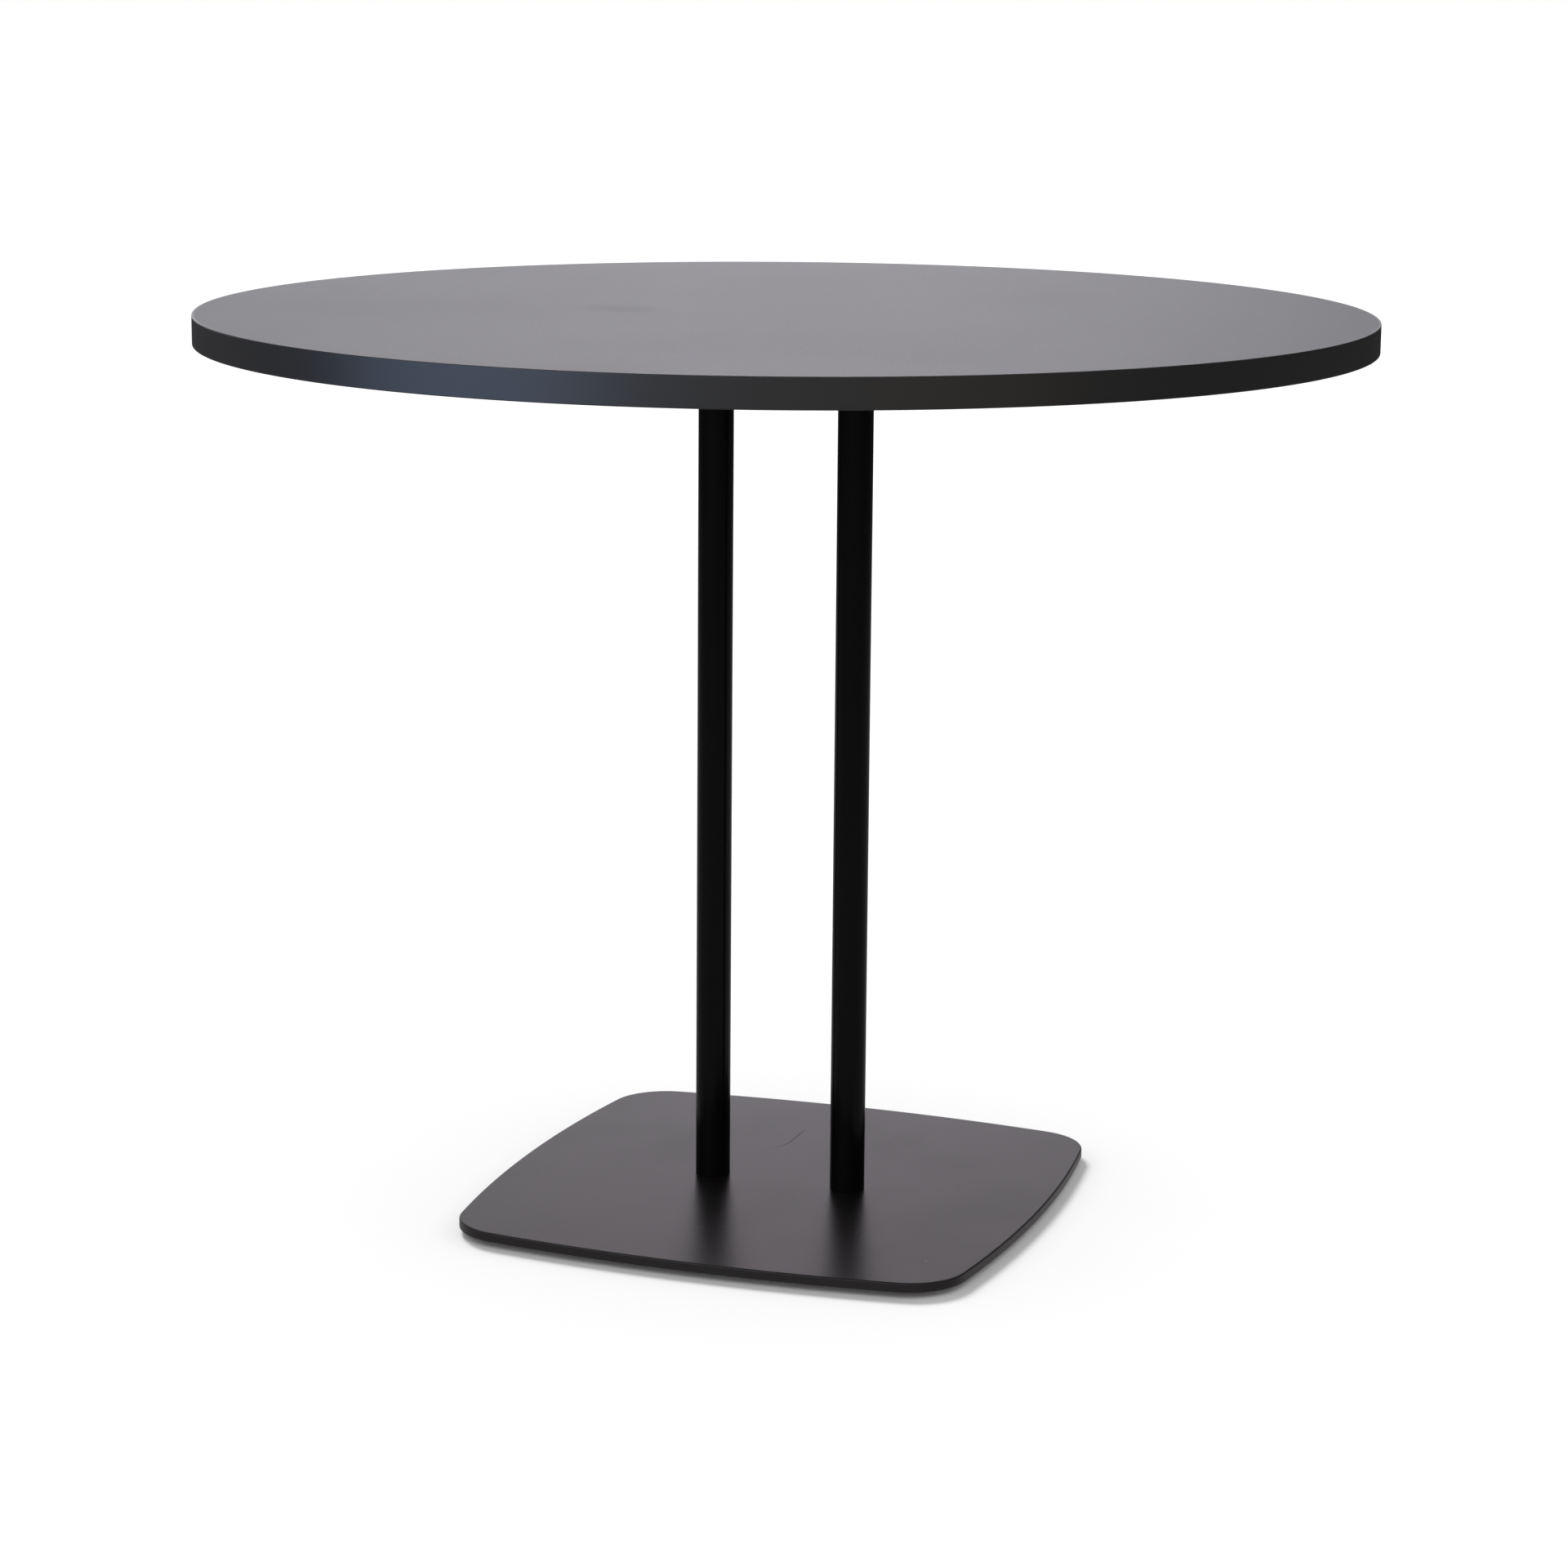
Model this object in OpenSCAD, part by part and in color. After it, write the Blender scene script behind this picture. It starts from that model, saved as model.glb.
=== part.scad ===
// Round dining table: a laminate-faced board on two round steel columns,
// which stand close together on a bowed square base plate with four glides.
// Millimetres. The floor is z = 0, +Z is up, and the columns stand in a row
// along X, half of their spacing each side of the middle.
// Threads are drawn plain, at their outside diameter.

/* [Overall] */
// Height of the tabletop's upper face above the floor
table_h = 745; // [680:5:1100]
// Diameter of the round tabletop over its edge band
top_d = 950; // [600:10:1200]

/* [Tabletop] */
// Thickness of the wood-fibre board
board_t = 22; // [18:1:30]
// Thickness of the laminate on each face of the board
laminate_t = 0.8; // [0.5:0.1:1.2]
// Thickness of the plastic edge band
band_t = 2; // [1:0.5:3]
// Radius of the edge band's upper and lower arris
band_arris = 0.8; // [0.3:0.1:0.9]

/* [Mounting plate] */
// Side of the square steel plate under the tabletop
mount_w = 300; // [240:10:400]
// Thickness of that plate
mount_t = 5; // [5:0.5:8]
// Corner radius of that plate
mount_corner = 20; // [5:1:24]

/* [Wood screws] */
// Distance from the mounting plate's edge to the screw centres
screw_inset = 18; // [10:1:25]
// Thread diameter
screw_d = 5; // [4:0.5:6]
// Depth that a screw bites into the board
screw_bite = 15; // [8:1:16]
// Diameter of the domed head
screw_head_d = 9.5; // [8:0.5:11]
// Height of the domed head
screw_head_h = 3; // [2.4:0.2:4]

/* [Columns] */
// Distance between the two columns' centre lines
column_pitch = 120; // [80:5:200]
// Outside diameter of a column tube
column_d = 29; // [28:0.5:45]
// Wall thickness of a column tube
column_wall = 2; // [1:0.5:3]
// Length of the threaded plug in each end of a column
plug_l = 30; // [26:1:50]

/* [Column bolts] */
// Thread of the countersunk bolt at the head of a column
head_bolt_d = 8; // [6:1:8]
// Length of that bolt
head_bolt_l = 25; // [20:1:28]
// Thread of the countersunk bolt at the foot of a column
foot_bolt_d = 10; // [8:1:10]
// Length of that bolt
foot_bolt_l = 30; // [25:1:32]

/* [Base plate] */
// Width across the middle of the plate's sides
plate_w = 455; // [380:5:600]
// Thickness of the plate
plate_t = 8; // [7:0.5:12]
// Radius of the four bowed sides
plate_side_r = 1300; // [900:50:3000]
// Radius of the four corners
plate_corner_r = 50; // [30:5:90]

/* [Glides] */
// Height of the base plate's underside above the floor, glides screwed home
glide_h = 5; // [5:0.5:10]
// Distance of the glide centres from the middle of the plate's sides
glide_inset = 50; // [40:5:80]
// Thread of the glide stud
stud_d = 8; // [6:1:10]
// Width across flats of the stud's hexagon head
stud_head_af = 13; // [12:0.5:16]
// Thickness of the stud's hexagon head
stud_head_t = 1.8; // [1.4:0.1:2]
// Diameter of the moulded shell
shell_d = 32; // [30:1:40]
// Web of the shell between the stud's head and the sole's stem
shell_web = 0.5; // [0.4:0.1:0.7]
// Number of finger grooves round the shell
shell_grooves = 12; // [6:1:16]
// Depth of a finger groove
groove_depth = 0.8; // [0.4:0.1:1]
// Diameter of the soft sole
sole_d = 26; // [22:1:26]
// Thickness of the soft sole
sole_t = 1.4; // [1.2:0.1:1.6]
// Height of the sole that shows below the shell
sole_proud = 0.6; // [0.4:0.1:0.8]
// Diameter of the stem that the shell turns on
stem_d = 6; // [4:0.5:8]

/* [Clearances] */
// Radial play of a thread, a plug or a stem in its bore
fit_gap = 0.05; // [0.02:0.01:0.08]
// Radial play of a bolt or screw in its through hole
bolt_gap = 0.5; // [0.3:0.1:0.8]
// Play between faces that turn past each other
turn_gap = 0.1; // [0.05:0.05:0.2]
// Play between a glide's shell and what it turns beside
shell_gap = 0.3; // [0.2:0.1:0.4]
// Space left past the tip of a screw, bolt or stud in its blind bore
tip_gap = 0.5; // [0.3:0.1:1]
// Steel left over the blind bore of a glide stud
bore_skin = 1.5; // [1:0.25:2]

/* [Hidden] */
$fn = 96;

// Colours
laminate_black = [0.13, 0.13, 0.14];
band_black = [0.08, 0.08, 0.09];
coat_black = [0.06, 0.06, 0.065];
board_brown = [0.55, 0.43, 0.31];
backing_grey = [0.3, 0.3, 0.3];
bare_steel = [0.62, 0.63, 0.65];
nylon_black = [0.1, 0.1, 0.1];
felt_grey = [0.35, 0.34, 0.33];

// Levels above the floor
plate_z0 = glide_h;
plate_z1 = plate_z0 + plate_t;
top_t = board_t + 2 * laminate_t;
top_z0 = table_h - top_t;
board_z0 = top_z0 + laminate_t;
board_z1 = board_z0 + board_t;
mount_z0 = top_z0 - mount_t;

// Tabletop and columns
board_r = top_d / 2 - band_t;
column_x = column_pitch / 2;
column_bore_r = column_d / 2 - column_wall;
plug_r = column_bore_r - fit_gap;
tube_fn = 180;
rim_fn = 360;
arris_fn = 48;

// Countersunk heads are twice the thread wide, at 90 degrees
csk_ratio = 2;
socket_share = 0.65;
flush_gap = 0.1;

// Shares of a wood screw's head and thread: the dome's height and its flat,
// the cross recess's length and width, and the point's length and tip
dome_share = 0.6;
dome_flat_share = 0.36;
recess_l_share = 0.5;
recess_w_share = 0.12;
point_share = 0.8;
point_r = 0.4;

// Places of the wood screws: the corners and the middles of a square
screw_span = mount_w / 2 - screw_inset;
screw_places = [for (x = [-1, 0, 1], y = [-1, 0, 1]) if (x != 0 || y != 0) [x, y] * screw_span];

// Base plate: each side is an arc about side_off beyond the middle, and the
// corner arcs' centres lie where both neighbouring side arcs are tangent
side_off = plate_side_r - plate_w / 2;
corner_reach = plate_side_r - plate_corner_r;
corner_xy = (sqrt(2 * corner_reach * corner_reach - side_off * side_off) - side_off) / 2;
tangent_a = atan2(corner_xy, corner_xy + side_off);

// Glides
glide_xy = plate_w / 2 - glide_inset;
groove_fn = 32;
stud_bore_h = plate_t - bore_skin;
shell_z0 = sole_proud;
shell_z1 = glide_h - shell_gap;
stud_head_z0 = shell_z1 - stud_head_t;
stem_z1 = stud_head_z0 - shell_web - turn_gap;
stud_z1 = plate_z0 + stud_bore_h - tip_gap;

// A cylinder between two levels
module post(r, z0, z1, fn = $fn) {
    translate([0, 0, z0])
        cylinder(r = r, h = z1 - z0, $fn = fn);
}

// A hexagonal prism between two levels, measured across its flats
module hexagon(across, z0, z1) {
    post(across / 2 / cos(30), z0, z1, 6);
}

// A countersunk socket bolt, its flat head at z = 0 and its thread up +Z
module countersunk_bolt(d, l) {
    head_r = d * csk_ratio / 2;
    difference() {
        union() {
            translate([0, 0, flush_gap])
                cylinder(r1 = head_r - flush_gap, r2 = d / 2, h = head_r - d / 2 - flush_gap);
            post(d / 2, head_r - d / 2 - flush_gap, l);
        }
        hexagon(d * socket_share, 0, d / 2 - flush_gap);
    }
}

// The hole that takes such a bolt through a plate of thickness t
module countersunk_hole(d, t) {
    hole_r = d / 2 + bolt_gap;
    head_r = d * csk_ratio / 2;
    post(hole_r, -1, t + 1);
    translate([0, 0, -bolt_gap])
        cylinder(r1 = head_r + bolt_gap, r2 = hole_r, h = head_r + bolt_gap - hole_r);
}

module top_board() {
    color(board_brown)
    difference() {
        post(board_r, board_z0, board_z1, rim_fn);
        for (p = screw_places)
            translate(p)
                post(screw_d / 2 + fit_gap, board_z0 - 1, top_z0 + screw_bite + tip_gap);
    }
}

module top_laminate() {
    color(laminate_black)
        post(board_r, board_z1, table_h, rim_fn);
}

module backing_laminate() {
    color(backing_grey)
    difference() {
        post(board_r, top_z0, board_z0, rim_fn);
        for (p = screw_places)
            translate(p)
                post(screw_d / 2 + fit_gap, top_z0 - 1, board_z0 + 1);
    }
}

// Cross-section of the edge band, with its outer corners rounded
module band_section() {
    translate([board_r, top_z0])
    difference() {
        square([band_t, top_t]);
        for (y = [0, top_t])
            translate([band_t, y])
                band_corner();
    }
}

// What rounding takes away at an outer corner of the section
module band_corner() {
    difference() {
        square(2 * band_arris, center = true);
        for (y = [-band_arris, band_arris])
            translate([-band_arris, y])
                circle(r = band_arris, $fn = arris_fn);
    }
}

module edge_band() {
    color(band_black)
        rotate_extrude($fn = rim_fn)
            band_section();
}

module mounting_plate() {
    inner_w = mount_w - 2 * mount_corner;
    color(coat_black)
    translate([0, 0, mount_z0])
    difference() {
        linear_extrude(mount_t)
        union() {
            square([mount_w, inner_w], center = true);
            square([inner_w, mount_w], center = true);
            for (x = [-1, 1], y = [-1, 1])
                translate([x, y] * inner_w / 2)
                    circle(r = mount_corner);
        }
        for (p = screw_places)
            translate(p)
                post(screw_d / 2 + bolt_gap, -1, mount_t + 1);
        for (side = [-1, 1])
            translate([side * column_x, 0, mount_t])
                mirror([0, 0, 1])
                    countersunk_hole(head_bolt_d, mount_t);
    }
}

// One wood screw, with the underside of its head at z = 0 and its point up
module wood_screw() {
    point_l = screw_d * point_share;
    dome_h = screw_head_h * dome_share;
    recess_l = screw_head_d * recess_l_share;
    recess_w = screw_head_d * recess_w_share;
    length = mount_t + screw_bite;
    difference() {
        union() {
            translate([0, 0, -screw_head_h])
                cylinder(r1 = screw_head_d * dome_flat_share, r2 = screw_head_d / 2, h = dome_h);
            post(screw_head_d / 2, dome_h - screw_head_h, 0);
            post(screw_d / 2, 0, length - point_l);
            translate([0, 0, length - point_l])
                cylinder(r1 = screw_d / 2, r2 = point_r, h = point_l);
        }
        for (a = [0, 90])
            rotate(a)
                translate([0, 0, -screw_head_h])
                    cube([recess_l, recess_w, screw_head_h], center = true);
    }
}

module top_screws() {
    color(bare_steel)
        for (p = screw_places)
            translate([p.x, p.y, mount_z0])
                wood_screw();
}

module column(side) {
    color(coat_black)
    translate([side * column_x, 0, 0])
    difference() {
        post(column_d / 2, plate_z1, mount_z0, tube_fn);
        post(column_bore_r, plate_z1 - 1, mount_z0 + 1, tube_fn);
    }
}

module column_left() {
    column(-1);
}

module column_right() {
    column(1);
}

// A threaded plug with its face at z = 0, its body up +Z and a bolt of
// diameter d that reaches reach into it
module plug(d, reach) {
    difference() {
        post(plug_r, 0, plug_l, tube_fn);
        post(d / 2 + fit_gap, -1, reach + tip_gap);
    }
}

module foot_plug(side) {
    color(bare_steel)
        translate([side * column_x, 0, plate_z1])
            plug(foot_bolt_d, foot_bolt_l - plate_t);
}

module head_plug(side) {
    color(bare_steel)
        translate([side * column_x, 0, mount_z0])
            mirror([0, 0, 1])
                plug(head_bolt_d, head_bolt_l - mount_t);
}

module foot_plug_left() {
    foot_plug(-1);
}

module foot_plug_right() {
    foot_plug(1);
}

module head_plug_left() {
    head_plug(-1);
}

module head_plug_right() {
    head_plug(1);
}

module foot_bolts() {
    color(bare_steel)
        for (side = [-1, 1])
            translate([side * column_x, 0, plate_z0])
                countersunk_bolt(foot_bolt_d, foot_bolt_l);
}

module head_bolts() {
    color(bare_steel)
        for (side = [-1, 1])
            translate([side * column_x, 0, top_z0])
                mirror([0, 0, 1])
                    countersunk_bolt(head_bolt_d, head_bolt_l);
}

// Outline of the base plate: four side arcs, cut off square to their ends,
// and a disc in each corner that carries on from them
module plate_outline() {
    tangent = plate_side_r * cos(tangent_a) - side_off;
    tangent_y = plate_side_r * sin(tangent_a);
    cut = tangent + tangent_y;
    intersection() {
        side_discs();
        rotate(45)
            square(cut * sqrt(2), center = true);
    }
    for (x = [-1, 1], y = [-1, 1])
        translate([x, y] * corner_xy)
            circle(r = plate_corner_r, $fn = tube_fn);
}

// Where the four discs that bow the sides all overlap
module side_discs() {
    intersection_for (a = [0, 90, 180, 270])
        rotate(a)
            translate([-side_off, 0])
                circle(r = plate_side_r, $fn = rim_fn * 2);
}

module base_plate() {
    color(coat_black)
    translate([0, 0, plate_z0])
    difference() {
        linear_extrude(plate_t)
            plate_outline();
        for (side = [-1, 1])
            translate([side * column_x, 0, 0])
                countersunk_hole(foot_bolt_d, plate_t);
        for (x = [-1, 1], y = [-1, 1])
            translate([x, y] * glide_xy)
                post(stud_d / 2 + fit_gap, -1, stud_bore_h);
    }
}

// Puts a glide's piece at the corner on side x and side y
module at_corner(x, y) {
    translate([x, y] * glide_xy)
        children();
}

module glide_stud(x, y) {
    chamfer = stud_d * 0.1;
    color(bare_steel)
    at_corner(x, y) {
        hexagon(stud_head_af, stud_head_z0, shell_z1);
        post(stud_d / 2, shell_z1, stud_z1 - chamfer);
        translate([0, 0, stud_z1 - chamfer])
            cylinder(r1 = stud_d / 2, r2 = stud_d / 2 - chamfer, h = chamfer);
    }
}

module glide_shell(x, y) {
    groove_r = 2 * groove_depth;
    color(nylon_black)
    at_corner(x, y)
    difference() {
        post(shell_d / 2, shell_z0, shell_z1);
        post(sole_d / 2 + shell_gap, shell_z0 - 1, sole_t + turn_gap);
        post(stem_d / 2 + fit_gap, shell_z0 - 1, stem_z1 + turn_gap);
        hexagon(stud_head_af, stud_head_z0, shell_z1 + 1);
        for (i = [0 : shell_grooves - 1])
            rotate(i * 360 / shell_grooves)
                translate([shell_d / 2 + groove_r - groove_depth, 0])
                    post(groove_r, shell_z0 - 1, shell_z1 + 1, groove_fn);
    }
}

module glide_sole(x, y) {
    color(felt_grey)
    at_corner(x, y) {
        post(sole_d / 2, 0, sole_t);
        post(stem_d / 2, sole_t, stem_z1);
    }
}

module glide_stud_front_left() {
    glide_stud(-1, -1);
}

module glide_shell_front_left() {
    glide_shell(-1, -1);
}

module glide_sole_front_left() {
    glide_sole(-1, -1);
}

module glide_stud_front_right() {
    glide_stud(1, -1);
}

module glide_shell_front_right() {
    glide_shell(1, -1);
}

module glide_sole_front_right() {
    glide_sole(1, -1);
}

module glide_stud_back_left() {
    glide_stud(-1, 1);
}

module glide_shell_back_left() {
    glide_shell(-1, 1);
}

module glide_sole_back_left() {
    glide_sole(-1, 1);
}

module glide_stud_back_right() {
    glide_stud(1, 1);
}

module glide_shell_back_right() {
    glide_shell(1, 1);
}

module glide_sole_back_right() {
    glide_sole(1, 1);
}

top_board();
top_laminate();
backing_laminate();
edge_band();
mounting_plate();
top_screws();
head_bolts();
column_left();
column_right();
head_plug_left();
head_plug_right();
foot_plug_left();
foot_plug_right();
foot_bolts();
base_plate();
glide_stud_front_left();
glide_shell_front_left();
glide_sole_front_left();
glide_stud_front_right();
glide_shell_front_right();
glide_sole_front_right();
glide_stud_back_left();
glide_shell_back_left();
glide_sole_back_left();
glide_stud_back_right();
glide_shell_back_right();
glide_sole_back_right();
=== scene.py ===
"""Looks of the round dining table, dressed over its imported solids.

A laminate-faced round top stands on two close steel columns and a bowed square
base plate, which rests on four screw-in glides. Lengths are in metres, in the
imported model's frame: the floor is z = 0, +Z is up and the columns stand in a
row along X.
"""

import logging
import math
from dataclasses import dataclass
from enum import Enum

import bmesh
import bpy
from mathutils import Matrix, Vector


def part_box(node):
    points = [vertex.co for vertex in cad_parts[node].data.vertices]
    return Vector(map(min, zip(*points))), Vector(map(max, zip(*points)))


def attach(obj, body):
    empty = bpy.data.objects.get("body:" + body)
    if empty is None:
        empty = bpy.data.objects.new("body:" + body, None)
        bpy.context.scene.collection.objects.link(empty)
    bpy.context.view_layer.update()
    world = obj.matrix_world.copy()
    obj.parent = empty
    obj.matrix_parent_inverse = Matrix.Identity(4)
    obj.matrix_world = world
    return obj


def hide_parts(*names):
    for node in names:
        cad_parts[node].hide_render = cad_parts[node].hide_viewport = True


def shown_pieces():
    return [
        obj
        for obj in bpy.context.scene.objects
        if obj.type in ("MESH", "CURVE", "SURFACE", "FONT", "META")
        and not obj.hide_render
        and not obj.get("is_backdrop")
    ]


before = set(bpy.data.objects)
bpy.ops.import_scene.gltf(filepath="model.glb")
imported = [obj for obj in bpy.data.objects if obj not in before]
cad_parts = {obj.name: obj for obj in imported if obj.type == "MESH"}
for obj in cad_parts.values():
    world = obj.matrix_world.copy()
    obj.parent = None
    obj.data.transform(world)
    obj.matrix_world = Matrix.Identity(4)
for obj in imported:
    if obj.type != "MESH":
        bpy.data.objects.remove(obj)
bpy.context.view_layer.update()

log = logging.getLogger("dining_table")

Colour = tuple[float, float, float]
Pair = tuple[float, float]
Socket = bpy.types.NodeSocket
Input = Socket | float | tuple
Material = bpy.types.Material
Mesh = bmesh.types.BMesh

FRAME_BODY = "table_frame"
FULL_TURN = 2.0 * math.pi
SHARP_EDGE = math.radians(40.0)
SAME_PLACE = 1e-6
UP = Vector((0.0, 0.0, 1.0))
ORIGIN = Vector((0.0, 0.0, 0.0))


class Slot(Enum):
    """Material slots of the record, handed along with the pieces' finishes but not read."""

    LAMINATE = "top_laminate"
    EDGE_BAND = "edge_band"
    BACKING = "backing_laminate"
    BOARD = "board"
    POWDER_COAT = "powder_coat"
    ZINC = "zinc_steel"
    NYLON = "glide_nylon"
    SOLE = "glide_sole"


def opaque(colour: Input) -> Input:
    """Give three numbers an alpha of one, and leave a socket as it is."""
    return (*colour, 1.0) if isinstance(colour, tuple) and len(colour) == 3 else colour


class NodeSheet:
    """A node tree with short calls to add and join its nodes."""

    def __init__(self, tree: bpy.types.NodeTree) -> None:
        """Take over a node tree and empty it."""
        self.tree = tree
        tree.nodes.clear()

    def add(self, kind: str, inputs: dict | None = None, **properties: object) -> bpy.types.Node:
        """Add a node.

        Args:
            kind: Blender's type name for the node.
            inputs: Values or sockets for the node's inputs, by name or number.
            properties: The node's own settings.
        Returns:
            The new node.
        """
        node = self.tree.nodes.new(kind)
        for name, value in properties.items():
            setattr(node, name, value)
        for key, value in (inputs or {}).items():
            self.feed(node.inputs[key], value)
        return node

    def feed(self, socket: Socket, value: Input) -> None:
        """Join a socket to an input, or set the input to a value.

        Args:
            socket: The input.
            value: A socket or a plain value.
        """
        if isinstance(value, Socket):
            self.tree.links.new(value, socket)
        else:
            socket.default_value = value

    def math(self, operation: str, *values: Input) -> Socket:
        """Return what a Math node makes of one, two or three values."""
        return self.add("ShaderNodeMath", dict(enumerate(values)), operation=operation).outputs[0]

    def times(self, first: Input, second: Input) -> Socket:
        """Return the product of two values."""
        return self.math("MULTIPLY", first, second)

    def plus(self, value: Input, factor: Input, base: Input) -> Socket:
        """Return a base plus a value times a factor."""
        return self.math("MULTIPLY_ADD", value, factor, base)

    def scaled(self, colour: Input, factor: Input) -> Socket:
        """Return a colour times a factor."""
        inputs = {0: colour, "Scale": factor}
        return self.add("ShaderNodeVectorMath", inputs, operation="SCALE").outputs[0]

    def step(self, value: Input, gone: Input, full: Input) -> Socket:
        """Return a smooth rise from 0 to 1 while a value goes from gone to full."""
        inputs = {"Value": value, "From Min": gone, "From Max": full}
        return self.add("ShaderNodeMapRange", inputs, interpolation_type="SMOOTHSTEP").outputs[0]

    def mix(self, share: Input, first: Input, second: Input) -> Socket:
        """Return two colours mixed by the second one's share."""
        inputs = {0: share, 6: opaque(first), 7: opaque(second)}
        return self.add("ShaderNodeMix", inputs, data_type="RGBA").outputs[2]

    def split(self, vector: Socket) -> tuple[Socket, ...]:
        """Return the X, Y and Z of a vector."""
        return tuple(self.add("ShaderNodeSeparateXYZ", {0: vector}).outputs)

    def join(self, x: Input, y: Input, z: Input = 0.0) -> Socket:
        """Return the vector made of three values."""
        return self.add("ShaderNodeCombineXYZ", {0: x, 1: y, 2: z}).outputs[0]

    def distance(self, first: Input, second: Input = ORIGIN[:]) -> Socket:
        """Return the distance between two places."""
        inputs = {0: first, 1: second}
        return self.add("ShaderNodeVectorMath", inputs, operation="DISTANCE").outputs["Value"]

    def noise(self, place: Socket, scale: Input, detail: float = 2.0) -> Socket:
        """Return the value of a noise texture."""
        inputs = {"Vector": place, "Scale": scale, "Detail": detail}
        return self.add("ShaderNodeTexNoise", inputs).outputs[0]


class EffectGroup(NodeSheet):
    """Node group of a surface effect that several finishes share.

    Attributes:
        label: Name of the group.
        vectors: Names of the vector inputs.
        usual: Number inputs with their usual values.
        results: Names of the number outputs.
    """

    label: str = ""
    vectors: tuple[str, ...] = ("Place",)
    usual: dict[str, float] = {}
    results: tuple[str, ...] = ("Mask",)

    def __init__(self) -> None:
        """Make the group with its sockets and draw the effect."""
        super().__init__(bpy.data.node_groups.new(self.label, "ShaderNodeTree"))
        sockets = self.tree.interface
        for name in self.vectors:
            sockets.new_socket(name, in_out="INPUT", socket_type="NodeSocketVector")
        for name, value in self.usual.items():
            number = sockets.new_socket(name, in_out="INPUT", socket_type="NodeSocketFloat")
            number.default_value = value
        for name in self.results:
            sockets.new_socket(name, in_out="OUTPUT", socket_type="NodeSocketFloat")
        self.given = self.add("NodeGroupInput").outputs
        self.put = self.add("NodeGroupOutput").inputs
        self.place = self.given["Place"]
        self.draw()

    def draw(self) -> None:
        """Draw the effect, none in a bare group."""

    def per(self, name: str) -> Socket:
        """Return one over a number input."""
        return self.math("DIVIDE", 1.0, self.given[name])


class Grain(EffectGroup):
    """Fine grain of a pressed or moulded face."""

    label = "fine grain"
    usual = {"Size": 0.001, "Contrast": 1.0}
    results = ("Value", "Height")

    def draw(self) -> None:
        """Draw the grain."""
        noise = self.noise(self.place, self.per("Size"), detail=3.0)
        spread = self.math("SUBTRACT", noise, 0.5)
        self.feed(self.put["Value"], self.plus(spread, self.given["Contrast"], 1.0))
        self.feed(self.put["Height"], noise)


class Ripple(EffectGroup):
    """Orange-peel ripple of a baked powder coat."""

    label = "coating ripple"
    usual = {"Size": 0.0015}
    results = ("Height",)
    fineness = 4.0
    fine_share = 0.2

    def draw(self) -> None:
        """Draw a wide ripple with a finer one in it."""
        scale = self.per("Size")
        wide = self.noise(self.place, scale, detail=1.0)
        fine = self.noise(self.place, self.times(scale, self.fineness), detail=1.0)
        self.feed(self.put["Height"], self.plus(fine, self.fine_share, wide))


class Dust(EffectGroup):
    """Sparse scatter of round specks."""

    label = "dust specks"
    usual = {"Spacing": 0.02, "Radius": 0.0005, "Share": 0.3}
    least_size = 0.4

    def draw(self) -> None:
        """Draw a speck in a share of the cells."""
        inputs = {"Vector": self.place, "Scale": self.per("Spacing")}
        cells = self.add("ShaderNodeTexVoronoi", inputs).outputs
        lot, size, _ = self.split(cells["Color"])
        reach = self.times(cells["Distance"], self.given["Spacing"])
        radius = self.times(self.given["Radius"], self.math("ADD", size, self.least_size))
        chosen = self.math("LESS_THAN", lot, self.given["Share"])
        self.feed(self.put["Mask"], self.times(self.math("LESS_THAN", reach, radius), chosen))


class Cloud(EffectGroup):
    """Broad soft patches, such as wiping leaves on a dark face."""

    label = "soft clouds"
    usual = {"Size": 0.15, "Low": 0.45, "High": 0.7}

    def draw(self) -> None:
        """Draw the patches."""
        noise = self.noise(self.place, self.per("Size"))
        self.feed(self.put["Mask"], self.step(noise, self.given["Low"], self.given["High"]))


class ArrisWearAndHighlight(EffectGroup):
    """Edge wear and a painted highlight along rounded edges between level and upright faces."""

    label = "arris wear and painted highlight"
    vectors = ("Place", "Facing")
    usual = {"Break": 0.5}
    edge_span = (0.02, 0.2)
    patch_scale = 90.0
    patch_full = 0.85

    def draw(self) -> None:
        """Draw the wear and painted highlight where a face is neither level nor upright."""
        _, _, rise = self.split(self.given["Facing"])
        square = self.times(rise, rise)
        edge = self.step(self.times(square, self.math("SUBTRACT", 1.0, square)), *self.edge_span)
        noise = self.noise(self.place, self.patch_scale, detail=3.0)
        patches = self.step(noise, self.given["Break"], self.patch_full)
        self.feed(self.put["Mask"], self.times(edge, patches))


class Hairlines(EffectGroup):
    """Faint, nearly straight scratches in broken stretches."""

    label = "hairline scratches"
    usual = {"Spacing": 0.03, "Width": 0.02}
    stretch = 6.0
    bend_scale = 6.0
    bend = 0.3
    part_scale = 22.0
    part_span = (0.55, 0.65)

    def draw(self) -> None:
        """Draw the bent lines between stretched cells, and break them."""
        x, y, _ = self.split(self.place)
        bent = self.plus(self.noise(self.place, self.bend_scale, detail=0.0), self.bend, y)
        inputs = {"Vector": self.join(self.times(x, self.stretch), bent), "Scale": self.per("Spacing")}
        cells = self.add("ShaderNodeTexVoronoi", inputs, feature="DISTANCE_TO_EDGE").outputs
        line = self.math("LESS_THAN", cells["Distance"], self.given["Width"])
        part = self.step(self.noise(self.place, self.part_scale, detail=1.0), *self.part_span)
        self.feed(self.put["Mask"], self.times(line, part))


class Effect(Enum):
    """Surface effects that several finishes share, each one node group."""

    GRAIN = Grain
    RIPPLE = Ripple
    DUST = Dust
    CLOUD = Cloud
    ARRIS_WEAR_AND_HIGHLIGHT = ArrisWearAndHighlight
    HAIRLINES = Hairlines


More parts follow.
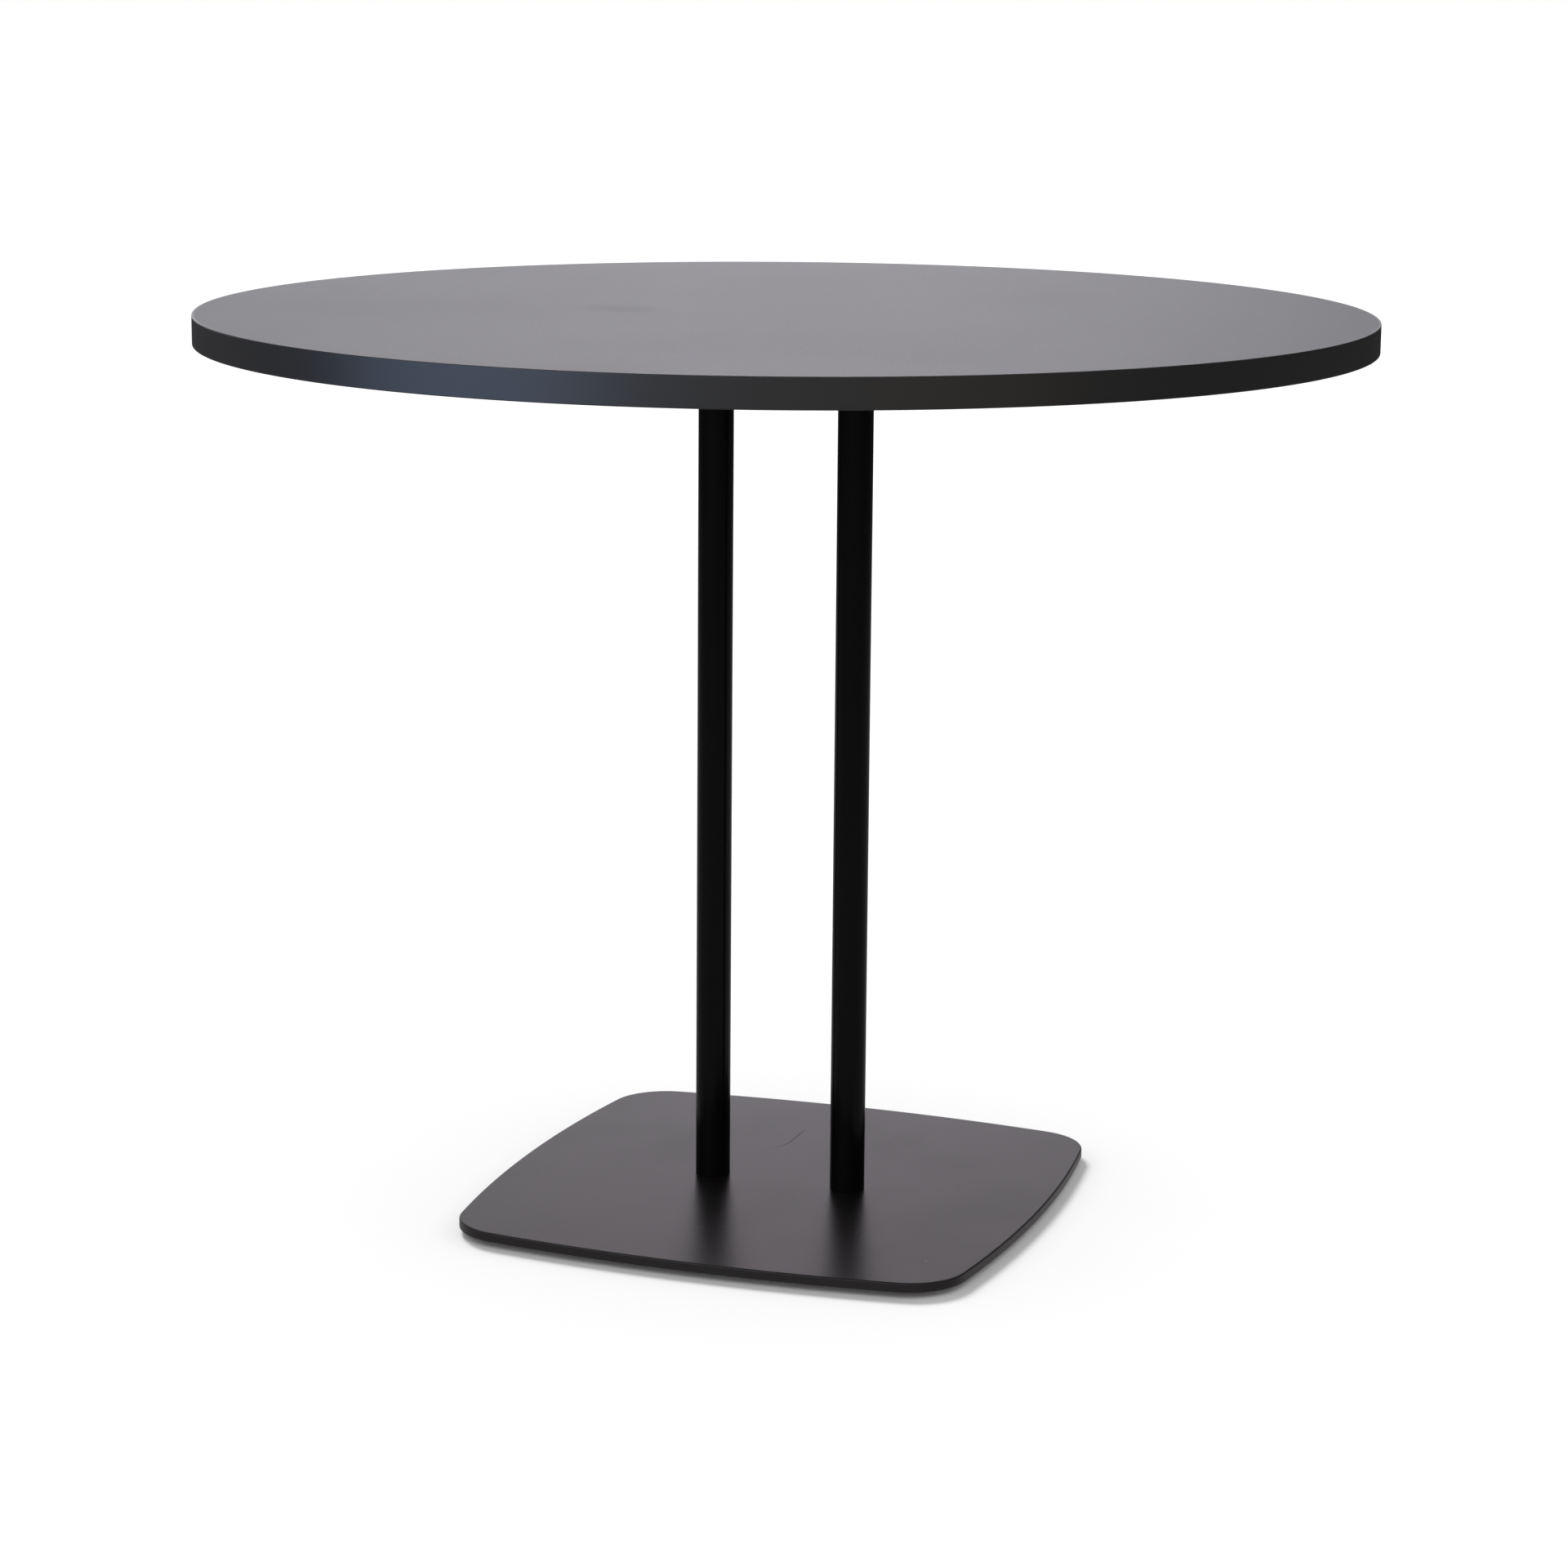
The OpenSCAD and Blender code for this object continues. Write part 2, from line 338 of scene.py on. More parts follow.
class MaterialSheet(NodeSheet):
    """Node tree of one material, with its shader and coordinates."""

    def __init__(self, material: Material, groups: dict[Effect, EffectGroup]) -> None:
        """Start with a Principled shader and Object coordinates.

        Args:
            material: The material.
            groups: The node group of each effect.
        """
        super().__init__(material.node_tree)
        self.groups = groups
        self.shader = self.add("ShaderNodeBsdfPrincipled")
        self.add("ShaderNodeOutputMaterial", {"Surface": self.shader.outputs[0]})
        place = self.add("ShaderNodeTexCoord").outputs
        self.spot = place["Object"]
        self.facing = place["Normal"]

    def shade(self, name: str, value: Input) -> None:
        """Feed an input of the shader."""
        self.feed(self.shader.inputs[name], value)

    def effect(self, effect: Effect, **inputs: Input) -> bpy.types.bpy_prop_collection:
        """Return a shared effect's outputs, given its inputs by name."""
        known = {"Place": self.spot, **inputs}
        return self.add("ShaderNodeGroup", known, node_tree=self.groups[effect].tree).outputs

    def emboss(self, height: Input, depth: float) -> None:
        """Shape the surface by a height pattern between 0 and 1 of some depth."""
        bump = self.add("ShaderNodeBump", {"Height": height, "Distance": depth, "Strength": 1.0})
        self.shade("Normal", bump.outputs[0])


@dataclass(frozen=True)
class Finish:
    """What every finish has: a name, a colour and a gloss.

    Attributes:
        name: Name of the material.
        colour: Colour of the body under the gloss, linear.
        roughness: How far reflections are blurred.
        specular: Strength of reflections, 0.5 for a plain plastic or paint.
    """

    name: str
    colour: Colour
    roughness: float
    specular: float = 0.5

    def make(self, groups: dict[Effect, EffectGroup]) -> Material:
        """Build the material.

        Args:
            groups: The node group of each shared effect.
        Returns:
            The material.
        """
        material = bpy.data.materials.new(self.name)
        material.use_nodes = True
        material.diffuse_color = opaque(self.colour)
        sheet = MaterialSheet(material, groups)
        sheet.shade("Base Color", opaque(self.colour))
        sheet.shade("Roughness", self.roughness)
        sheet.shade("Specular IOR Level", self.specular)
        self.detail(sheet)
        return material

    def detail(self, sheet: MaterialSheet) -> None:
        """Add the surface's detail, none on a bare finish."""


@dataclass(frozen=True)
class LaminateFinish(Finish):
    """Matt pressed laminate with a fine speckle, dust and a faint wipe mark.

    Attributes:
        grain_size: Size of the pressed grain.
        grain_depth: Depth of the grain.
        speckle: How far the grain lightens and darkens the colour.
        cloudiness: How far the gloss varies over the face.
        dust: How far dust specks show.
        dust_colour: Colour of those specks.
        wipe_centre: Middle of the faint wipe mark on the face.
        wipe_reach: Half length and half width of that mark.
        wipe_fade: Where the mark is gone and full, in shares of its reach.
        wipe_ragged: How far its edge is ragged, in shares of its reach.
        wipe_scale: Fineness of that raggedness.
        wipe_dulling: How far the mark dulls the gloss.
    """

    grain_size: float = 0.0019
    grain_depth: float = 0.00016
    speckle: float = 3.0
    cloudiness: float = 0.008
    dust: float = 0.35
    dust_colour: Colour = (0.3, 0.3, 0.3)
    wipe_centre: Pair = (-0.132, -0.039)
    wipe_reach: Pair = (0.05, 0.034)
    wipe_fade: Pair = (1.5, 0.6)
    wipe_ragged: float = 0.9
    wipe_scale: float = 60.0
    wipe_dulling: float = 0.02

    def detail(self, sheet: MaterialSheet) -> None:
        """Add the grain, the clouds, the dust and the wipe mark.

        Args:
            sheet: The material's node sheet.
        """
        grain = sheet.effect(Effect.GRAIN, Size=self.grain_size, Contrast=self.speckle)
        cloud = sheet.effect(Effect.CLOUD, Size=0.22, Low=0.4, High=0.75)["Mask"]
        specks = sheet.effect(Effect.DUST, Spacing=0.045, Radius=0.0004, Share=0.35)["Mask"]
        tone = sheet.scaled(self.colour, grain["Value"])
        sheet.shade("Base Color", sheet.mix(sheet.times(specks, self.dust), tone, self.dust_colour))
        rough = sheet.plus(cloud, self.cloudiness, self.roughness)
        sheet.shade("Roughness", sheet.plus(self._wipe(sheet), self.wipe_dulling, rough))
        sheet.emboss(grain["Height"], self.grain_depth)

    def _wipe(self, sheet: MaterialSheet) -> Socket:
        """Draw the wipe mark.

        Args:
            sheet: The material's node sheet.
        Returns:
            The mark's mask.
        """
        shares = []
        for place, centre, reach in zip(sheet.split(sheet.spot), self.wipe_centre, self.wipe_reach):
            shares.append(sheet.math("DIVIDE", sheet.math("SUBTRACT", place, centre), reach))
        noise = sheet.noise(sheet.spot, self.wipe_scale, detail=3.0)
        ragged = sheet.plus(noise, self.wipe_ragged, sheet.distance(sheet.join(*shares)))
        return sheet.step(ragged, *self.wipe_fade)


@dataclass(frozen=True)
class EdgeBandFinish(Finish):
    """Extruded plastic edge band with fine lines along it and one butt joint.

    Attributes:
        line_pitch: Pitch of the extrusion lines.
        line_depth: Depth of those lines.
        edge_wear_and_highlight: How far the edge wear and painted highlight on the arrises show.
        edge_wear_and_highlight_colour: Colour of that wear and painted highlight, far lighter than the
            band.
        joint_half: Half width of the butt joint, which faces the back.
        joint_depth: Depth of the joint, in depths of a line.
        joint_colour: Colour inside the joint.
    """

    line_pitch: float = 0.0007
    line_depth: float = 0.000004
    edge_wear_and_highlight: float = 0.25
    edge_wear_and_highlight_colour: Colour = (0.06, 0.06, 0.065)
    joint_half: float = 0.00012
    joint_depth: float = 6.0
    joint_colour: Colour = (0.002, 0.002, 0.002)

    def detail(self, sheet: MaterialSheet) -> None:
        """Add the lines, the grain, the arris wear with its painted highlight and the joint.

        Args:
            sheet: The material's node sheet.
        """
        x, y, z = sheet.split(sheet.spot)
        lines = sheet.noise(sheet.join(0.0, 0.0, z), 1.0 / self.line_pitch)
        grain = sheet.effect(Effect.GRAIN, Size=0.0009, Contrast=0.5)["Value"]
        edge_wear_and_highlight = sheet.effect(Effect.ARRIS_WEAR_AND_HIGHLIGHT, Facing=sheet.facing, Break=0.4)["Mask"]
        near = sheet.math("LESS_THAN", sheet.math("ABSOLUTE", x), self.joint_half)
        joint = sheet.times(near, sheet.math("GREATER_THAN", y, 0.0))
        tone = sheet.scaled(self.colour, grain)
        # Painted highlight: the arris mask lays a much lighter colour on the band's rounded edges,
        # partly standing for edge wear.
        band_wear_and_highlight = sheet.mix(sheet.times(edge_wear_and_highlight, self.edge_wear_and_highlight), tone, self.edge_wear_and_highlight_colour)
        sheet.shade("Base Color", sheet.mix(joint, band_wear_and_highlight, self.joint_colour))
        sheet.emboss(sheet.plus(joint, -self.joint_depth, lines), self.line_depth)


@dataclass(frozen=True)
class PowderCoatFinish(Finish):
    """Satin powder coat over steel.

    Attributes:
        ripple_size: Size of the orange peel.
        ripple_depth: Depth of the orange peel.
        cloudiness: How far the gloss varies over the face.
        dust: How far dust specks show.
        dust_share: Share of the dust specks that are there.
        dust_colour: Colour of those specks.
        edge_wear_and_highlight: How far the edge wear and painted highlight on the arrises show.
        edge_wear_and_highlight_colour: Colour of that wear and painted highlight, a reddish tone far
            lighter than the coat.
        scuff: How far hairline scuffs dull the gloss.
        scratch_dulling: How far a scratch dulls the gloss.
        scratch_depth: Depth of a scratch, in depths of the orange peel.
        lint_colour: Colour of lint on the face.
    """

    ripple_size: float = 0.0016
    ripple_depth: float = 0.00002
    cloudiness: float = 0.03
    dust: float = 0.4
    dust_share: float = 0.0
    dust_colour: Colour = (0.22, 0.22, 0.21)
    edge_wear_and_highlight: float = 0.5
    edge_wear_and_highlight_colour: Colour = (0.03, 0.016, 0.014)
    scuff: float = 0.04
    scratch_dulling: float = 0.4
    scratch_depth: float = 3.0
    lint_colour: Colour = (0.3, 0.31, 0.29)

    def detail(self, sheet: MaterialSheet) -> None:
        """Add the ripple, clouds, arris wear with its painted highlight, dust, scuffs and marks of use.

        Args:
            sheet: The material's node sheet.
        """
        ripple = sheet.effect(Effect.RIPPLE, Size=self.ripple_size)["Height"]
        cloud = sheet.effect(Effect.CLOUD, Size=0.12, Low=0.4, High=0.75)["Mask"]
        edge_wear_and_highlight = sheet.effect(Effect.ARRIS_WEAR_AND_HIGHLIGHT, Facing=sheet.facing, Break=0.35)["Mask"]
        specks = sheet.effect(Effect.DUST, Spacing=0.03, Radius=0.0005, Share=self.dust_share)["Mask"]
        grain = sheet.effect(Effect.GRAIN, Size=0.0006, Contrast=0.6)["Value"]
        hairlines = sheet.effect(Effect.HAIRLINES, Spacing=0.05, Width=0.012)["Mask"]
        scratch, lint = self.marks(sheet)
        tone = sheet.scaled(self.colour, grain)
        # Painted highlight: a reddish colour far lighter than the coat on the rounded arrises, partly
        # standing for edge wear.
        coat_wear_and_highlight = sheet.mix(sheet.times(edge_wear_and_highlight, self.edge_wear_and_highlight), tone, self.edge_wear_and_highlight_colour)
        dusted = sheet.mix(sheet.times(specks, self.dust), coat_wear_and_highlight, self.dust_colour)
        sheet.shade("Base Color", sheet.mix(lint, dusted, self.lint_colour))
        rough = sheet.plus(cloud, self.cloudiness, self.roughness)
        rough = sheet.plus(hairlines, self.scuff, rough)
        sheet.shade("Roughness", sheet.plus(scratch, self.scratch_dulling, rough))
        sheet.emboss(sheet.plus(scratch, -self.scratch_depth, ripple), self.ripple_depth)

    def marks(self, sheet: MaterialSheet) -> tuple[Input, Input]:
        """Return the scratch mask and the lint mask, none by default."""
        return 0.0, 0.0


@dataclass(frozen=True)
class FootPlateFinish(PowderCoatFinish):
    """Powder coat of the base plate, with the marks of use on its face.

    Attributes:
        face_z: Height just under the upper face, below which no mark shows.
        scratch_x: Where the curved scratch runs across X.
        scratch_y: Where it starts, stops bending and ends along Y.
        scratch_bend: How strongly its start bends away.
        scratch_half: Half of its width.
        scratch_fade: Length over which its end fades.
        wander: How far it wanders from its line.
        wander_scale: Fineness of that wandering.
        lint: Places of the pale lint specks.
        lint_radius: Radius at which a speck is gone and full.
        lint_show: How far the specks show.
    """

    face_z: float = 0.0125
    scratch_x: float = -0.0272
    scratch_y: tuple[float, float, float] = (0.066, 0.108, 0.152)
    scratch_bend: float = 14.0
    scratch_half: float = 0.0007
    scratch_fade: float = 0.02
    wander: float = 0.002
    wander_scale: float = 70.0
    lint: tuple[Pair, ...] = ((0.1047, -0.1095), (-0.0173, -0.1402), (0.1791, -0.1574))
    lint_radius: Pair = (0.0013, 0.0003)
    lint_show: float = 0.6

    def marks(self, sheet: MaterialSheet) -> tuple[Input, Input]:
        """Draw the scratch and the lint.

        Args:
            sheet: The material's node sheet.
        Returns:
            The scratch mask and the lint mask.
        """
        x, y, z = sheet.split(sheet.spot)
        above = sheet.math("GREATER_THAN", z, self.face_z)
        start, bend, end = self.scratch_y
        before = sheet.math("MAXIMUM", sheet.math("SUBTRACT", bend, y), 0.0)
        swing = sheet.plus(sheet.times(before, before), self.scratch_bend, -self.scratch_x)
        noise = sheet.math("SUBTRACT", sheet.noise(sheet.spot, self.wander_scale), 0.5)
        off = sheet.plus(noise, self.wander, sheet.math("ADD", x, swing))
        line = sheet.step(sheet.math("ABSOLUTE", off), self.scratch_half, 0.0)
        inside = sheet.times(sheet.step(y, start, bend), sheet.step(y, end, end - self.scratch_fade))
        level = sheet.join(x, y)
        lint = 0.0
        for place in self.lint:
            speck = sheet.step(sheet.distance(level, (*place, 0.0)), *self.lint_radius)
            lint = sheet.math("MAXIMUM", lint, speck)
        shown = sheet.times(above, self.lint_show)
        return sheet.times(sheet.times(line, inside), above), sheet.times(lint, shown)


@dataclass(frozen=True)
class ZincFinish(Finish):
    """Zinc-plated steel of screws, bolts, plugs and studs.

    Attributes:
        tint: Colour that the passivation leaves in patches.
        patch_dulling: How far those patches dull the gloss.
        brush_depth: Depth of the fine tool marks.
    """

    tint: Colour = (0.62, 0.58, 0.46)
    patch_dulling: float = 0.12
    brush_depth: float = 0.00001

    def detail(self, sheet: MaterialSheet) -> None:
        """Make it metal and add the patches and tool marks.

        Args:
            sheet: The material's node sheet.
        """
        cloud = sheet.effect(Effect.CLOUD, Size=0.006, Low=0.4, High=0.7)["Mask"]
        grain = sheet.effect(Effect.GRAIN, Size=0.0004, Contrast=0.5)["Height"]
        sheet.shade("Metallic", 1.0)
        sheet.shade("Base Color", sheet.mix(cloud, self.colour, self.tint))
        sheet.shade("Roughness", sheet.plus(cloud, self.patch_dulling, self.roughness))
        sheet.emboss(grain, self.brush_depth)


@dataclass(frozen=True)
class MouldedFinish(Finish):
    """Moulded or pressed body with an even fine grain.

    Attributes:
        grain_size: Size of the grain.
        grain_depth: Depth of the grain.
        mottle: How far the patches show.
        mottle_colour: Colour of the patches.
        patch_size: Size of the patches, in sizes of the grain.
    """

    grain_size: float = 0.0005
    grain_depth: float = 0.00002
    mottle: float = 0.3
    mottle_colour: Colour = (0.03, 0.03, 0.03)
    patch_size: float = 9.0

    def detail(self, sheet: MaterialSheet) -> None:
        """Add the grain and the patches.

        Args:
            sheet: The material's node sheet.
        """
        grain = sheet.effect(Effect.GRAIN, Size=self.grain_size, Contrast=0.8)
        size = self.grain_size * self.patch_size
        cloud = sheet.effect(Effect.CLOUD, Size=size, Low=0.35, High=0.75)["Mask"]
        patched = sheet.mix(sheet.times(cloud, self.mottle), self.colour, self.mottle_colour)
        sheet.shade("Base Color", sheet.scaled(patched, grain["Value"]))
        sheet.emboss(grain["Height"], self.grain_depth)


class Finishes:
    """All finishes of the table, made once."""

    def __init__(self) -> None:
        """Make every material."""
        groups = {effect: effect.value() for effect in Effect}
        self.laminate = LaminateFinish("matt_laminate", (0.03, 0.031, 0.034), 0.4).make(groups)
        self.edge_band = EdgeBandFinish("edge_band", (0.006, 0.006, 0.0065), 0.34).make(groups)
        self.foot_plate = FootPlateFinish(
            "foot_plate_coat", (0.0035, 0.0018, 0.0026), 0.32, dust_share=0.08
        ).make(groups)
        self.column = PowderCoatFinish(
            "column_coat", (0.0014, 0.001, 0.0013), 0.18, specular=0.14, edge_wear_and_highlight=0.1, scuff=0.0
        ).make(groups)
        self.mount = PowderCoatFinish("mount_coat", (0.006, 0.006, 0.0064), 0.42).make(groups)
        self.backing = MouldedFinish(
            "backing_laminate",
            (0.05, 0.049, 0.048),
            0.55,
            grain_size=0.0012,
            grain_depth=0.00003,
            mottle=0.5,
            mottle_colour=(0.035, 0.034, 0.033),
        ).make(groups)
        self.board = MouldedFinish(
            "wood_fibre_board",
            (0.3, 0.2, 0.12),
            0.8,
            grain_size=0.0015,
            grain_depth=0.0001,
            mottle=0.6,
            mottle_colour=(0.2, 0.13, 0.07),
        ).make(groups)
        self.zinc = ZincFinish("zinc_plate", (0.66, 0.67, 0.7), 0.28).make(groups)
        self.nylon = MouldedFinish("moulded_nylon", (0.018, 0.018, 0.018), 0.5).make(groups)
        self.felt = MouldedFinish(
            "pressed_felt",
            (0.12, 0.11, 0.1),
            0.95,
            grain_size=0.0004,
            grain_depth=0.00012,
            mottle=0.7,
            mottle_colour=(0.07, 0.065, 0.06),
        ).make(groups)


class Profile:
    """A line of points that a lathe turns round an upright axis.

    Attributes:
        FIRM: How close to a long stretch's ends its extra points lie.
    """

    FIRM = 0.00015

    def __init__(self, points: list[Pair], closed: bool = False) -> None:
        """Take the points and firm up the straight stretches between them.

        Args:
            points: Points, each a radius and a height.
            closed: Whether the last point joins the first.
        """
        self.closed = closed
        self.points = []
        ends = points[1:] + points[:1] if closed else points[1:]
        for near, far in zip(points, ends):
            self.points += [near, *self._firmed(Vector(near), Vector(far))]
        if not closed:
            self.points.append(points[-1])

    def _firmed(self, near: Vector, far: Vector) -> list[Pair]:
        """Keep the shading of a long stretch flat by points close to its ends.

        Args:
            near: One end of the stretch.
            far: Its other end.
        Returns:
            The points to put between them, none in a short stretch.
        """
        length = (far - near).length
        if length < 4.0 * self.FIRM:
            return []
        step = (far - near) * self.FIRM / length
        return [tuple(near + step), tuple(far - step)]

    @staticmethod
    def arc(centre: Pair, radius: float, start: float, end: float, steps: int) -> list[Pair]:
        """Return the points of an arc.

        Args:
            centre: Radius and height of the arc's middle.
            radius: Radius of the arc.
            start: First angle in degrees, from the outward direction towards up.
            end: Last angle in degrees.
            steps: Number of chords.
        Returns:
            The points from start to end.
        """
        angles = [math.radians(start + (end - start) * i / steps) for i in range(steps + 1)]
        return [(centre[0] + radius * math.cos(a), centre[1] + radius * math.sin(a)) for a in angles]

    @classmethod
    def ring(cls, radii: Pair, heights: Pair, ease: float, steps: int) -> "Profile":
        """Return the section of an upright ring.

        Args:
            radii: Inner and outer radius of the ring.
            heights: Lower and upper height of the ring.
            ease: Radius that its outer edges are eased by.
            steps: Number of chords round an eased edge.
        Returns:
            The closed section.
        """
        inner, outer = radii
        low, high = heights
        foot = cls.arc((outer - ease, low + ease), ease, -90.0, 0.0, steps)
        head = cls.arc((outer - ease, high - ease), ease, 0.0, 90.0, steps)
        return cls([(inner, low), *foot, *head, (inner, high)], closed=True)

    def turn(self, steps: int, centre: Pair = (0.0, 0.0)) -> Mesh:
        """Turn the line a full circle.

        Args:
            steps: Number of steps round the axis.
            centre: Where the axis stands.
        Returns:
            The turned mesh, its seam and poles closed and its faces outwards.
        """
        mesh = bmesh.new()
        verts = [mesh.verts.new((centre[0] + r, centre[1], z)) for r, z in self.points]
        ends = verts[1:] + verts[:1] if self.closed else verts[1:]
        line = verts + [mesh.edges.new(pair) for pair in zip(verts, ends)]
        foot = (*centre, 0.0)
        bmesh.ops.spin(mesh, geom=line, cent=foot, axis=UP, angle=FULL_TURN, steps=steps, use_merge=True)
        bmesh.ops.remove_doubles(mesh, verts=mesh.verts, dist=SAME_PLACE)
        bmesh.ops.recalc_face_normals(mesh, faces=mesh.faces)
        return mesh


def put_in_scene(name: str, data: bpy.types.ID) -> bpy.types.Object:
    """Make an object and put it in the scene.

    Args:
        name: Name of the object.
        data: Its mesh, light or camera.
    Returns:
        The object.
    """
    made = bpy.data.objects.new(name, data)
    bpy.context.scene.collection.objects.link(made)
    return made


def mesh_object(name: str, mesh: Mesh, material: Material) -> bpy.types.Object:
    """Make an object of a finished mesh and its material.

    Args:
        name: Name of the object.
        mesh: Its shape, in place.
        material: Its finish.
    Returns:
        The object.
    """
    data = bpy.data.meshes.new(name)
    mesh.to_mesh(data)
    mesh.free()
    data.materials.append(material)
    return put_in_scene(name, data)


@dataclass
class SubAssembly:
    """Pieces of the table that are built and dressed together.

    Attributes:
        finishes: All finishes of the table.
    """

    finishes: Finishes

    def piece(self, name: str, mesh: Mesh, material: Material, slot: Slot, node: str) -> None:
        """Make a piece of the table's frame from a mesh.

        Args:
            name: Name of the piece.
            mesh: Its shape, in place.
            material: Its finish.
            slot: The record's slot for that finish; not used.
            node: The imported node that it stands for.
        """
        shown = mesh_object(name, mesh, material)
        shown.data.shade_smooth()
        shown.data.set_sharp_from_angle(angle=SHARP_EDGE)
        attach(shown, FRAME_BODY)
        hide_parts(node)
        log.info("piece %s: %d faces", name, len(shown.data.polygons))

    def dress(self, material: Material, slot: Slot, *nodes: str, rounding: float = 0.0) -> None:
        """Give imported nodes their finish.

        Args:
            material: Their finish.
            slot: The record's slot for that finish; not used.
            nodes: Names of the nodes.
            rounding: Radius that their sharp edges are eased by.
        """
        for node in nodes:
            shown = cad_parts[node]
            shown.data.materials.clear()
            shown.data.materials.append(material)
            if rounding:
                shown.modifiers.new("weld", "WELD").merge_threshold = SAME_PLACE
                ease = shown.modifiers.new("ease", "BEVEL")
                ease.width = rounding
                ease.segments = 2
                ease.limit_method = "ANGLE"
                ease.angle_limit = SHARP_EDGE
                ease.harden_normals = True
            log.info("packed node %s: %s", node, material.name)


@dataclass
class Tabletop(SubAssembly):
    """The round top: laminate, edge band, board and backing.

    Attributes:
        radius: Radius over the edge band.
        band_t: Thickness of the edge band.
        arris: Radius of the band's upper and lower arris.
        arris_steps: Steps round such an arris.
        trim: Radius of the laminate's trimmed edge.
        trim_steps: Steps round that edge.
        steps: Steps round the top.
    """

    radius: float = 0.475
    band_t: float = 0.002
    arris: float = 0.0008
    arris_steps: int = 5
    trim: float = 0.00012
    trim_steps: int = 3
    steps: int = 288

    def build(self) -> None:
        """Build the top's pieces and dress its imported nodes."""
        looks = self.finishes
        self.piece("tabletop_laminate", self._laminate(), looks.laminate, Slot.LAMINATE, "top_laminate")
        self.piece("tabletop_edge_band", self._band(), looks.edge_band, Slot.EDGE_BAND, "edge_band")
        self.dress(looks.board, Slot.BOARD, "top_board")
        self.dress(looks.backing, Slot.BACKING, "backing_laminate")

    def _laminate(self) -> Mesh:
        """Build the laminate disc with its trimmed edge.

        Returns:
            The disc.
        """
        low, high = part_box("top_laminate")
        edge = self.radius - self.band_t
        middle = (edge - self.trim, high.z - self.trim)
        rounded = Profile.arc(middle, self.trim, 0.0, 90.0, self.trim_steps)
        return Profile([(0.0, low.z), (edge, low.z), *rounded, (0.0, high.z)]).turn(self.steps)

    def _band(self) -> Mesh:
        """Build the edge band with its rounded arrises.

        Returns:
            The band.
        """
        low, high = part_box("edge_band")
        radii = (self.radius - self.band_t, self.radius)
        return Profile.ring(radii, (low.z, high.z), self.arris, self.arris_steps).turn(self.steps)


@dataclass
class Columns(SubAssembly):
    """The two column tubes with their plugs and bolts.

    Attributes:
        diameter: Outside diameter of a tube.
        wall: Wall thickness of a tube.
        pitch: Distance between the tubes' centre lines.
        ease: Radius that the tube ends are deburred by.
        ease_steps: Steps round a deburred edge.
        steps: Steps round a tube.
    """

    diameter: float = 0.029
    wall: float = 0.002
    pitch: float = 0.12
    ease: float = 0.00025
    ease_steps: int = 3
    steps: int = 96

    def build(self) -> None:
        """Build both tubes and dress the plugs and bolts."""
        looks = self.finishes
        for side, name in ((-0.5, "left"), (0.5, "right")):
            node = f"column_{name}"
            tube = self._tube(side * self.pitch, node)
            self.piece(f"{node}_tube", tube, looks.column, Slot.POWDER_COAT, node)
            self.dress(looks.zinc, Slot.ZINC, f"head_plug_{name}", f"foot_plug_{name}")
        self.dress(looks.zinc, Slot.ZINC, "head_bolts", "foot_bolts")

    def _tube(self, x: float, node: str) -> Mesh:
        """Build one tube.

        Args:
            x: Where its centre line stands.
            node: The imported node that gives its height.
        Returns:
            The tube.
        """
        low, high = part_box(node)
        outer = self.diameter / 2.0
        section = Profile.ring((outer - self.wall, outer), (low.z, high.z), self.ease, self.ease_steps)
        return section.turn(self.steps, centre=(x, 0.0))


@dataclass
class PlateStock(SubAssembly):
    """Steel plate cut to an outline, with holes bored through its level faces.

    Attributes:
        hole_steps: Number of sides of a hole.
        bolt_x: Distance of the bolt holes from the middle.
    """

    hole_steps: int = 40
    bolt_x: float = 0.06

    def bore(self, mesh: Mesh, centre: Pair, *rings: Pair) -> list[bmesh.types.BMEdge]:
        """Line a hole.

        Args:
            mesh: The plate, its level faces still open.
            centre: Where the hole stands.
            rings: Radius and height of each ring of the hole's wall, from below.
        Returns:
            The edges of the highest ring.
        """
        loops = []
        for radius, z in rings:
            placed = Matrix.Translation((*centre, z))
            made = bmesh.ops.create_circle(mesh, segments=self.hole_steps, radius=radius, matrix=placed)
            loops.append(list({edge for vert in made["verts"] for edge in vert.link_edges}))
        for lower, upper in zip(loops, loops[1:]):
            bmesh.ops.bridge_loops(mesh, edges=lower + upper)
        return loops[-1]

    def bore_bolts(self, mesh: Mesh, *rings: Pair) -> None:
        """Line both bolt holes, each of the same rings."""
        for x in (-self.bolt_x, self.bolt_x):
            self.bore(mesh, (x, 0.0), *rings)

    @staticmethod
    def close(mesh: Mesh, *levels: float) -> None:
        """Close the level faces round their holes and turn every face outwards.

        Args:
            mesh: The plate.
            levels: Heights of the level faces.
        """
        for z in levels:
            bare = [edge for edge in mesh.edges if len(edge.link_faces) < 2]
            rims = [edge for edge in bare if all(abs(vert.co.z - z) < SAME_PLACE for vert in edge.verts)]
            bmesh.ops.triangle_fill(mesh, use_beauty=True, edges=rims, normal=UP)
        bmesh.ops.recalc_face_normals(mesh, faces=mesh.faces)


